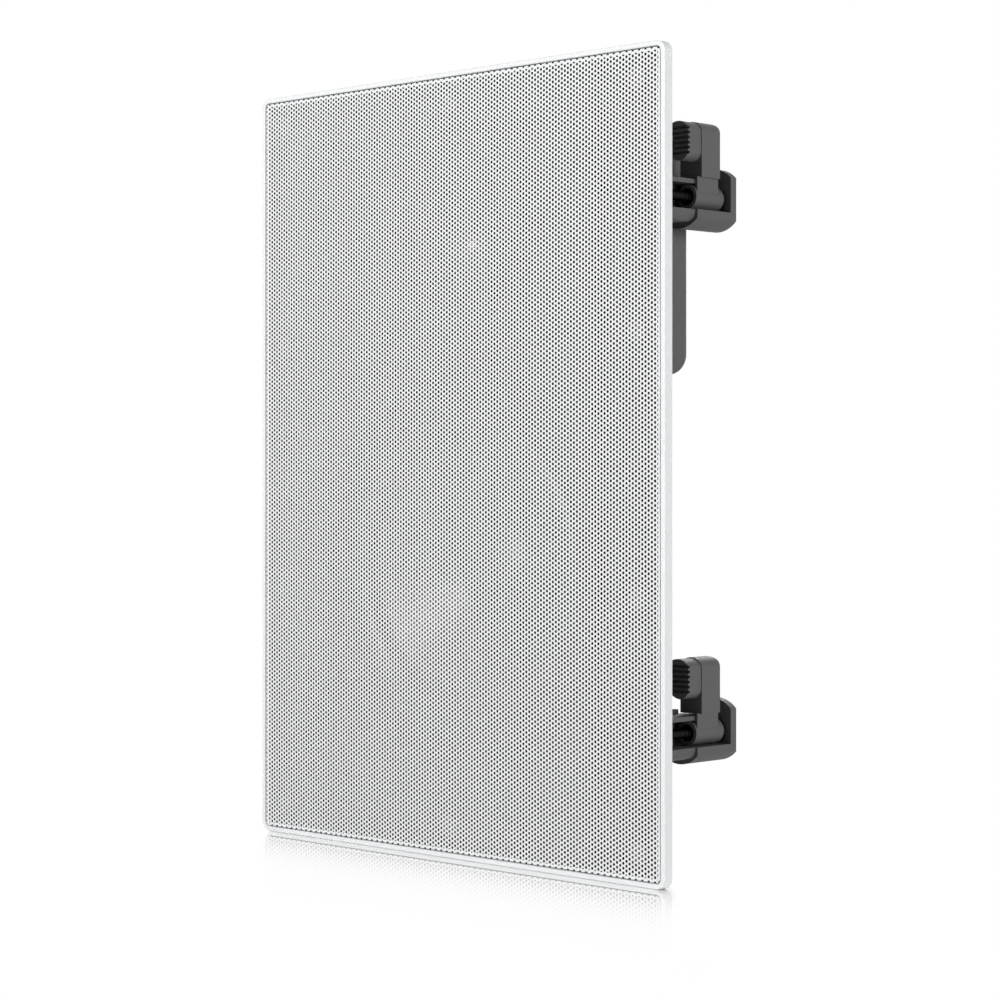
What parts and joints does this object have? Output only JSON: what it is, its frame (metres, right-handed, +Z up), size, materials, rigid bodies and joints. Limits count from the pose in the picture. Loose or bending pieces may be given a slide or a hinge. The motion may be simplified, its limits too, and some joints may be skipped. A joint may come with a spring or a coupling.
{
  "type": "in wall speaker",
  "caption": "Rectangular in-wall loudspeaker: flush perforated magnetic grille, woofer, dome tweeter, crossover box and swing-out clamp arms that grip the wall board.",
  "frame": {"origin": "middle of the panel on the wall's surface, where the flange and the bezel rest on the wall", "axes": "+X to the right seen from the room, +Y into the wall, +Z up"},
  "size_m": [0.22, 0.0761, 0.305],
  "materials": {
    "white_plastic": "satin",
    "white_steel": "satin",
    "dark_plastic": "satin",
    "nickel": "polished",
    "black_steel": "satin",
    "black_screw": "satin",
    "zinc_steel": "satin",
    "foam": "matte",
    "surround_rubber": "satin",
    "cone_plastic": "gloss",
    "coil_foil": "satin",
    "copper": "gloss",
    "tinned_brass": "satin",
    "spider_cloth": "matte",
    "ferrite": "matte",
    "dome_silk": "satin",
    "board_fibre": "satin",
    "circuit_green": "satin",
    "bobbin_nylon": "satin",
    "capacitor_film": "gloss",
    "resistor_cement": "matte",
    "lever_red": "gloss",
    "lever_black": "gloss",
    "spring_steel": "polished",
    "lead_sleeve": "satin"
  },
  "bodies": {
    "speaker": {"bezel": "white_plastic", "grille_magnets": "nickel", "chassis": "dark_plastic", "woofer_basket": "black_steel", "woofer_gasket": "foam", "woofer_screws": "black_screw", "woofer_surround": "surround_rubber", "woofer_spider": "spider_cloth", "woofer_top_plate": "zinc_steel", "woofer_magnet": "ferrite", "woofer_yoke": "zinc_steel", "woofer_tag_board": "board_fibre", "woofer_tags": "tinned_brass", "tweeter_faceplate": "dark_plastic", "tweeter_screws": "black_screw", "tweeter_surround": "dome_silk", "tweeter_top_plate": "zinc_steel", "tweeter_magnet": "ferrite", "tweeter_yoke": "zinc_steel", "tweeter_tags": "tinned_brass", "crossover_housing": "dark_plastic", "housing_screws": "black_screw", "crossover_board": "circuit_green", "board_screws": "zinc_steel", "inductor_bobbin": "bobbin_nylon", "inductor_winding": "copper", "crossover_capacitors": "capacitor_film", "crossover_resistor": "resistor_cement", "terminal_block": "dark_plastic", "terminal_spring_red": "spring_steel", "terminal_spring_black": "spring_steel", "terminal_contacts": "tinned_brass", "woofer_leads": "lead_sleeve", "tweeter_leads": "lead_sleeve", "clamp_rings": "spring_steel"},
    "grille": {"grille": "white_steel"},
    "cone": {"woofer_cone": "cone_plastic", "woofer_dust_cap": "cone_plastic", "woofer_coil_former": "coil_foil", "woofer_voice_coil": "copper"},
    "dome": {"tweeter_dome": "dome_silk", "tweeter_voice_coil": "copper"},
    "lever_red": {"terminal_lever_red": "lever_red"},
    "lever_black": {"terminal_lever_black": "lever_black"},
    "screw_upper_right": {"clamp_screw_upper_right": "black_screw"},
    "bush_upper_right": {"clamp_bush_upper_right": "black_screw"},
    "arm_upper_right": {"clamp_arm_upper_right": "dark_plastic"},
    "screw_lower_right": {"clamp_screw_lower_right": "black_screw"},
    "bush_lower_right": {"clamp_bush_lower_right": "black_screw"},
    "arm_lower_right": {"clamp_arm_lower_right": "dark_plastic"},
    "screw_upper_left": {"clamp_screw_upper_left": "black_screw"},
    "bush_upper_left": {"clamp_bush_upper_left": "black_screw"},
    "arm_upper_left": {"clamp_arm_upper_left": "dark_plastic"},
    "screw_lower_left": {"clamp_screw_lower_left": "black_screw"},
    "bush_lower_left": {"clamp_bush_lower_left": "black_screw"},
    "arm_lower_left": {"clamp_arm_lower_left": "dark_plastic"}
  },
  "joints": [
    {"name": "grille_pull", "type": "slide", "parent": "speaker", "child": "grille", "axis": [0, -1, 0], "range_m": [0, 0.06]},
    {"name": "cone_travel", "type": "slide", "parent": "speaker", "child": "cone", "axis": [0, -1, 0], "range_m": [-0.004, 0.004], "stiffness_N_per_m": 1200, "deforming": ["woofer_surround", "woofer_spider"]},
    {"name": "dome_travel", "type": "slide", "parent": "speaker", "child": "dome", "axis": [0, -1, 0], "range_m": [-0.0003, 0.0003], "stiffness_N_per_m": 400, "deforming": ["tweeter_surround"]},
    {"name": "lever_red_press", "type": "slide", "parent": "speaker", "child": "lever_red", "axis": [0, -1, 0], "range_m": [0, 0.0022], "stiffness_N_per_m": 800, "deforming": ["terminal_spring_red"]},
    {"name": "lever_black_press", "type": "slide", "parent": "speaker", "child": "lever_black", "axis": [0, -1, 0], "range_m": [0, 0.0022], "stiffness_N_per_m": 800, "deforming": ["terminal_spring_black"]},
    {"name": "clamp_screw_upper_right_turn", "type": "hinge", "parent": "speaker", "child": "screw_upper_right", "pos_m": [0.078, 0, 0.102], "axis": [0, 1, 0], "range_deg": [0, 5590]},
    {"name": "clamp_upper_right_travel", "type": "slide", "parent": "speaker", "child": "bush_upper_right", "axis": [0, -1, 0], "range_m": [0, 0.031]},
    {"name": "clamp_upper_right_swing", "type": "hinge", "parent": "bush_upper_right", "child": "arm_upper_right", "pos_m": [0.078, 0, 0.102], "axis": [0, 1, 0], "range_deg": [0, 90]},
    {"name": "clamp_screw_lower_right_turn", "type": "hinge", "parent": "speaker", "child": "screw_lower_right", "pos_m": [0.078, 0, -0.102], "axis": [0, 1, 0], "range_deg": [0, 5590]},
    {"name": "clamp_lower_right_travel", "type": "slide", "parent": "speaker", "child": "bush_lower_right", "axis": [0, -1, 0], "range_m": [0, 0.031]},
    {"name": "clamp_lower_right_swing", "type": "hinge", "parent": "bush_lower_right", "child": "arm_lower_right", "pos_m": [0.078, 0, -0.102], "axis": [0, 1, 0], "range_deg": [0, 90]},
    {"name": "clamp_screw_upper_left_turn", "type": "hinge", "parent": "speaker", "child": "screw_upper_left", "pos_m": [-0.078, 0, 0.102], "axis": [0, 1, 0], "range_deg": [0, 5590]},
    {"name": "clamp_upper_left_travel", "type": "slide", "parent": "speaker", "child": "bush_upper_left", "axis": [0, -1, 0], "range_m": [0, 0.031]},
    {"name": "clamp_upper_left_swing", "type": "hinge", "parent": "bush_upper_left", "child": "arm_upper_left", "pos_m": [-0.078, 0, 0.102], "axis": [0, 1, 0], "range_deg": [0, 90]},
    {"name": "clamp_screw_lower_left_turn", "type": "hinge", "parent": "speaker", "child": "screw_lower_left", "pos_m": [-0.078, 0, -0.102], "axis": [0, 1, 0], "range_deg": [0, 5590]},
    {"name": "clamp_lower_left_travel", "type": "slide", "parent": "speaker", "child": "bush_lower_left", "axis": [0, -1, 0], "range_m": [0, 0.031]},
    {"name": "clamp_lower_left_swing", "type": "hinge", "parent": "bush_lower_left", "child": "arm_lower_left", "pos_m": [-0.078, 0, -0.102], "axis": [0, 1, 0], "range_deg": [0, 90]}
  ],
  "couplings": [
    {"joint": "clamp_screw_upper_right_turn", "follows": "clamp_upper_right_travel", "rad_per_m": 3141.6},
    {"joint": "clamp_screw_lower_right_turn", "follows": "clamp_lower_right_travel", "rad_per_m": 3141.6},
    {"joint": "clamp_screw_upper_left_turn", "follows": "clamp_upper_left_travel", "rad_per_m": 3141.6},
    {"joint": "clamp_screw_lower_left_turn", "follows": "clamp_lower_left_travel", "rad_per_m": 3141.6}
  ]
}
